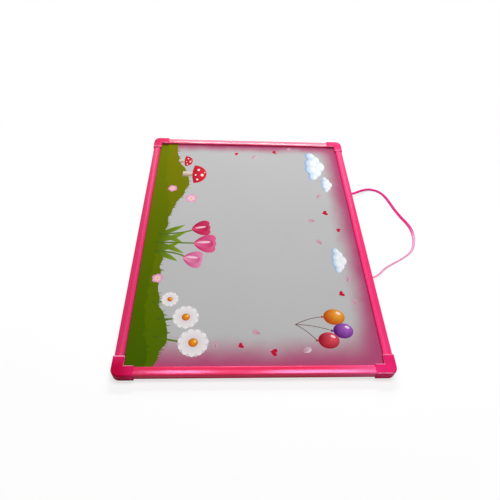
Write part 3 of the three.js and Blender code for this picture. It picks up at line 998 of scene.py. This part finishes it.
def paint_all():
    rng = random.Random(12)
    paint_hill(27, [(-100, 46, 24), (150, 34, 17)], "7c7b00", "4e6c02", 9, rng)
    paint_hill(15, [(-30, 60, 13), (186, 40, 10)], "6f7a00", "436000", 12, rng)
    paint_toadstool((-118, -100), 40)
    paint_toadstool((-148, -108), 24)
    paint_tulip((2, -122), 66, -9, "9c0d3c", "e2406f", head=25)
    paint_tulip((32, -124), 60, 10, "c03a78", "ee93b8", head=25)
    paint_tulip((17, -126), 78, 1, "bb1f58", "ea6a9b", head=29)
    paint_daisy((128, -78), 30, foot=(130, -110), turn=0.2)
    paint_daisy((160, -68), 34, foot=(152, -112), turn=0.1)
    paint_daisy((104, -98), 20, foot=(108, -118), turn=0.4)
    paint_blossom((-66, -84), 17, "fbe3ee", "e488b0", 0.3)
    paint_blossom((-86, -112), 14, "fbe3ee", "de6c9d", 0.8)
    paint_blossom((74, -116), 14, "fdeaf2", "e079a5", 0.1)
    paint_cloud((-142, 96), 58)
    paint_cloud((-100, 112), 30)
    paint_cloud((44, 108), 36)
    paint_balloon((128, 92), 25, "b8440a", "ffb23c", (138, 46))
    paint_balloon((146, 100), 23, "5b1470", "b56bd0", (138, 46))
    paint_balloon((158, 82), 24, "9c0d24", "f05a6a", (138, 46))
    for a, b, size, turn in ((-40, 104, 9, 0.3), (-8, 118, 7, -0.4), (96, 106, 8, 0.5),
                             (172, 20, 9, -0.2), (164, -16, 7, 0.5), (-174, 40, 8, 0.2),
                             (-168, -20, 7, -0.5)):
        paint(heart(size), plain("c2183c"), (a, b), turn)
    for a, b, turn in ((-70, 96, 0.9), (18, 92, 2.2), (78, 116, 1.2), (150, 6, 2.7), (172, 52, 0.5),
                       (-176, 66, 1.8), (112, 122, 2.0), (-24, 88, 2.9), (168, -44, 1.5), (-158, 4, 0.7)):
        paint(petal(10, 6.5, 0.3), blended("c9a3b4", "f4eef0", (a, b), (a + 6, b + 6)), (a, b), turn)
        paint(leaf(6.5, 1.2), plain("b5547f", 0.7), (a, b), turn)


def add_sheet():
    """One flat mesh, cut along the outlines of the print, on a thin body."""
    paint_all()
    points = [Vector((x * CANVAS_A, y * CANVAS_B)) for x, y in CORNERS]
    outlines = [list(range(4))]
    for outline, _ in shapes:
        area = sum(before[0] * after[1] - after[0] * before[1] for before, after in pairs(outline))
        first = len(points)
        points += [Vector(p) for p in (outline if area > 0 else outline[::-1])]
        outlines.append(list(range(first, len(points))))
    rng = random.Random(4)
    for i in range(1, GRID_COLUMNS):
        for j in range(1, GRID_ROWS):
            a = -CANVAS_A + 2 * CANVAS_A * (i + rng.uniform(-GRID_SHIFT, GRID_SHIFT)) / GRID_COLUMNS
            b = -CANVAS_B + 2 * CANVAS_B * (j + rng.uniform(-GRID_SHIFT, GRID_SHIFT)) / GRID_ROWS
            points.append(Vector((a, b)))
    verts, _, faces, _, _, owners = delaunay_2d_cdt(points, [], outlines, 1, 1e-4, True)
    mesh = bpy.data.meshes.new("printed_sheet")
    bm = bmesh.new()
    layer = bm.loops.layers.float_color.new("print")
    made = [bm.verts.new((v.y * MM, -v.x * MM, SHEET_TOP * MM)) for v in verts]
    for face, owner in zip(faces, owners):
        if 0 not in owner:
            continue
        flat = bm.faces.new([made[i] for i in face])
        for loop, i in zip(flat.loops, face):
            loop[layer] = cover_of(verts[i], owner)
    bmesh.ops.delete(bm, geom=[v for v in bm.verts if not v.link_faces], context="VERTS")
    border = [e for e in bm.edges if e.is_boundary]
    grown = bmesh.ops.extrude_edge_only(bm, edges=border)["geom"]
    lower = [v for v in grown if isinstance(v, bmesh.types.BMVert)]
    bmesh.ops.translate(bm, verts=lower, vec=(0, 0, -SHEET_THICKNESS * MM))
    bmesh.ops.contextual_create(bm, geom=[e for e in bm.edges if e.is_boundary])
    bmesh.ops.recalc_face_normals(bm, faces=bm.faces)
    bm.to_mesh(mesh)
    bm.free()
    mesh.materials.append(sheet_material())
    link("printed_sheet", mesh, replaces=["writing_sheet"])


def cover_of(point, owner):
    """The print's colour and cover at a point, from the shapes that lie there, the last on top."""
    colour, cover = np.zeros(3), 0.0
    # The first owner, 0, is the canvas
    for index in sorted(owner)[1:]:
        *ink, alpha = shapes[index - 1][1](point.x, point.y)
        over = alpha + cover * (1 - alpha)
        colour = (np.array(ink) * alpha + colour * cover * (1 - alpha)) / max(over, 1e-6)
        cover = over
    return (*colour, cover)


def dress_cad_nodes():
    for name, material in (("core_board", core_material()), ("back_sheet", back_material())):
        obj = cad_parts[name]
        obj.data.materials.clear()
        obj.data.materials.append(material)


# Stage and light. Distances are metres.

FLOOR_HALF, FLOOR_DROP = 4.0, 0.0002
# How far from the origin the floor goes over to plain white
FLOOR_FADE = (0.27, 0.5)
# What the floor throws on the object, and what the camera sees of it: a shadowed grey under a glow
FLOOR_BOUNCE, FLOOR_SHADOWED, FLOOR_GLOW = 0.7, 0.36, 0.69
WORLD_FILL = 0.16
WHITE = (1, 1, 1, 1)


def seen_ray(tree):
    """1 for rays from the camera and in gloss or glass, else 0."""
    path = node(tree, "LightPath", {}).outputs
    either = maths(tree, "MAXIMUM", path["Is Camera Ray"], path["Is Glossy Ray"])
    return maths(tree, "MAXIMUM", either, path["Is Transmission Ray"])


def mixed_shader(tree, factor, a, b):
    return node(tree, "MixShader", {0: factor, 1: a, 2: b}).outputs[0]


def glow(tree, kind, strength):
    return node(tree, kind, {"Color": WHITE, "Strength": strength}).outputs[0]


def matt(tree, grey):
    return node(tree, "BsdfDiffuse", {"Color": (grey, grey, grey, 1)}).outputs[0]


def add_floor():
    mesh = bpy.data.meshes.new("floor")
    corners = [(x * FLOOR_HALF, y * FLOOR_HALF, -FLOOR_DROP) for x, y in CORNERS]
    mesh.from_pydata(corners, [], [(0, 1, 2, 3)])
    floor = added("floor", mesh)
    material = bpy.data.materials.new("floor")
    material.use_nodes = True
    tree = material.node_tree
    tree.nodes.remove(tree.nodes["Principled BSDF"])
    reach = node(tree, "VectorMath", {0: object_place(tree)}, operation="LENGTH").outputs["Value"]
    away = ranged(tree, reach, *FLOOR_FADE)
    seen = node(tree, "AddShader", {0: matt(tree, FLOOR_SHADOWED), 1: glow(tree, "Emission", FLOOR_GLOW)})
    camera = node(tree, "LightPath", {}).outputs["Is Camera Ray"]
    near = mixed_shader(tree, camera, matt(tree, FLOOR_BOUNCE), seen.outputs[0])
    out = mixed_shader(tree, product(tree, away, seen_ray(tree)), near, glow(tree, "Emission", 1.0))
    plug_in(tree, out, tree.nodes["Material Output"].inputs["Surface"])
    mesh.materials.append(material)


def add_light():
    world = bpy.data.worlds.new("world")
    bpy.context.scene.world = world
    world.use_nodes = True
    tree = world.node_tree
    tree.nodes.clear()
    fill, white = (glow(tree, "Background", strength) for strength in (WORLD_FILL, 1.0))
    node(tree, "OutputWorld", {"Surface": mixed_shader(tree, seen_ray(tree), fill, white)})
    add_lamp("key", azimuth=58, zenith=15.5, distance=1.62, width=0.42, depth=0.42, level=0.35)
    add_lamp("side", azimuth=-37.5, zenith=14.4, distance=1.59, width=0.22, depth=0.38, level=0.19)
    add_lamp("back", azimuth=4.3, zenith=47, distance=1.18, width=0.61, depth=0.078, level=0.25)
    add_lamp("sky", azimuth=2, zenith=60, distance=2, width=1.4, depth=0.5, level=0.07)


def add_lamp(name, azimuth, zenith, distance, width, depth, level):
    """A lamp aimed at the board, its width along X.

    Azimuth is from +Y towards +X and zenith from straight up, in degrees. The level is how bright it makes
    white paper on the table, where 1 is plain white.
    """
    az, ze = math.radians(azimuth), math.radians(zenith)
    data = bpy.data.lights.new(name, "AREA")
    data.shape = "RECTANGLE"
    data.size, data.size_y = width, depth
    radiance = level * math.pi * distance**2 / (width * depth * math.cos(ze))
    data.energy = radiance * math.pi * width * depth
    towards = Vector((math.sin(az) * math.sin(ze), math.cos(az) * math.sin(ze), math.cos(ze)))
    across = (Vector((1, 0, 0)) - towards * towards.x).normalized()
    added(name, data).matrix_world = facing(towards * distance, across, towards.cross(across), towards)


add_camera()
add_cord()
add_sheet()
add_rails()
add_caps()
dress_cad_nodes()
add_floor()
add_light()
bpy.context.scene.view_settings.view_transform = "Standard"
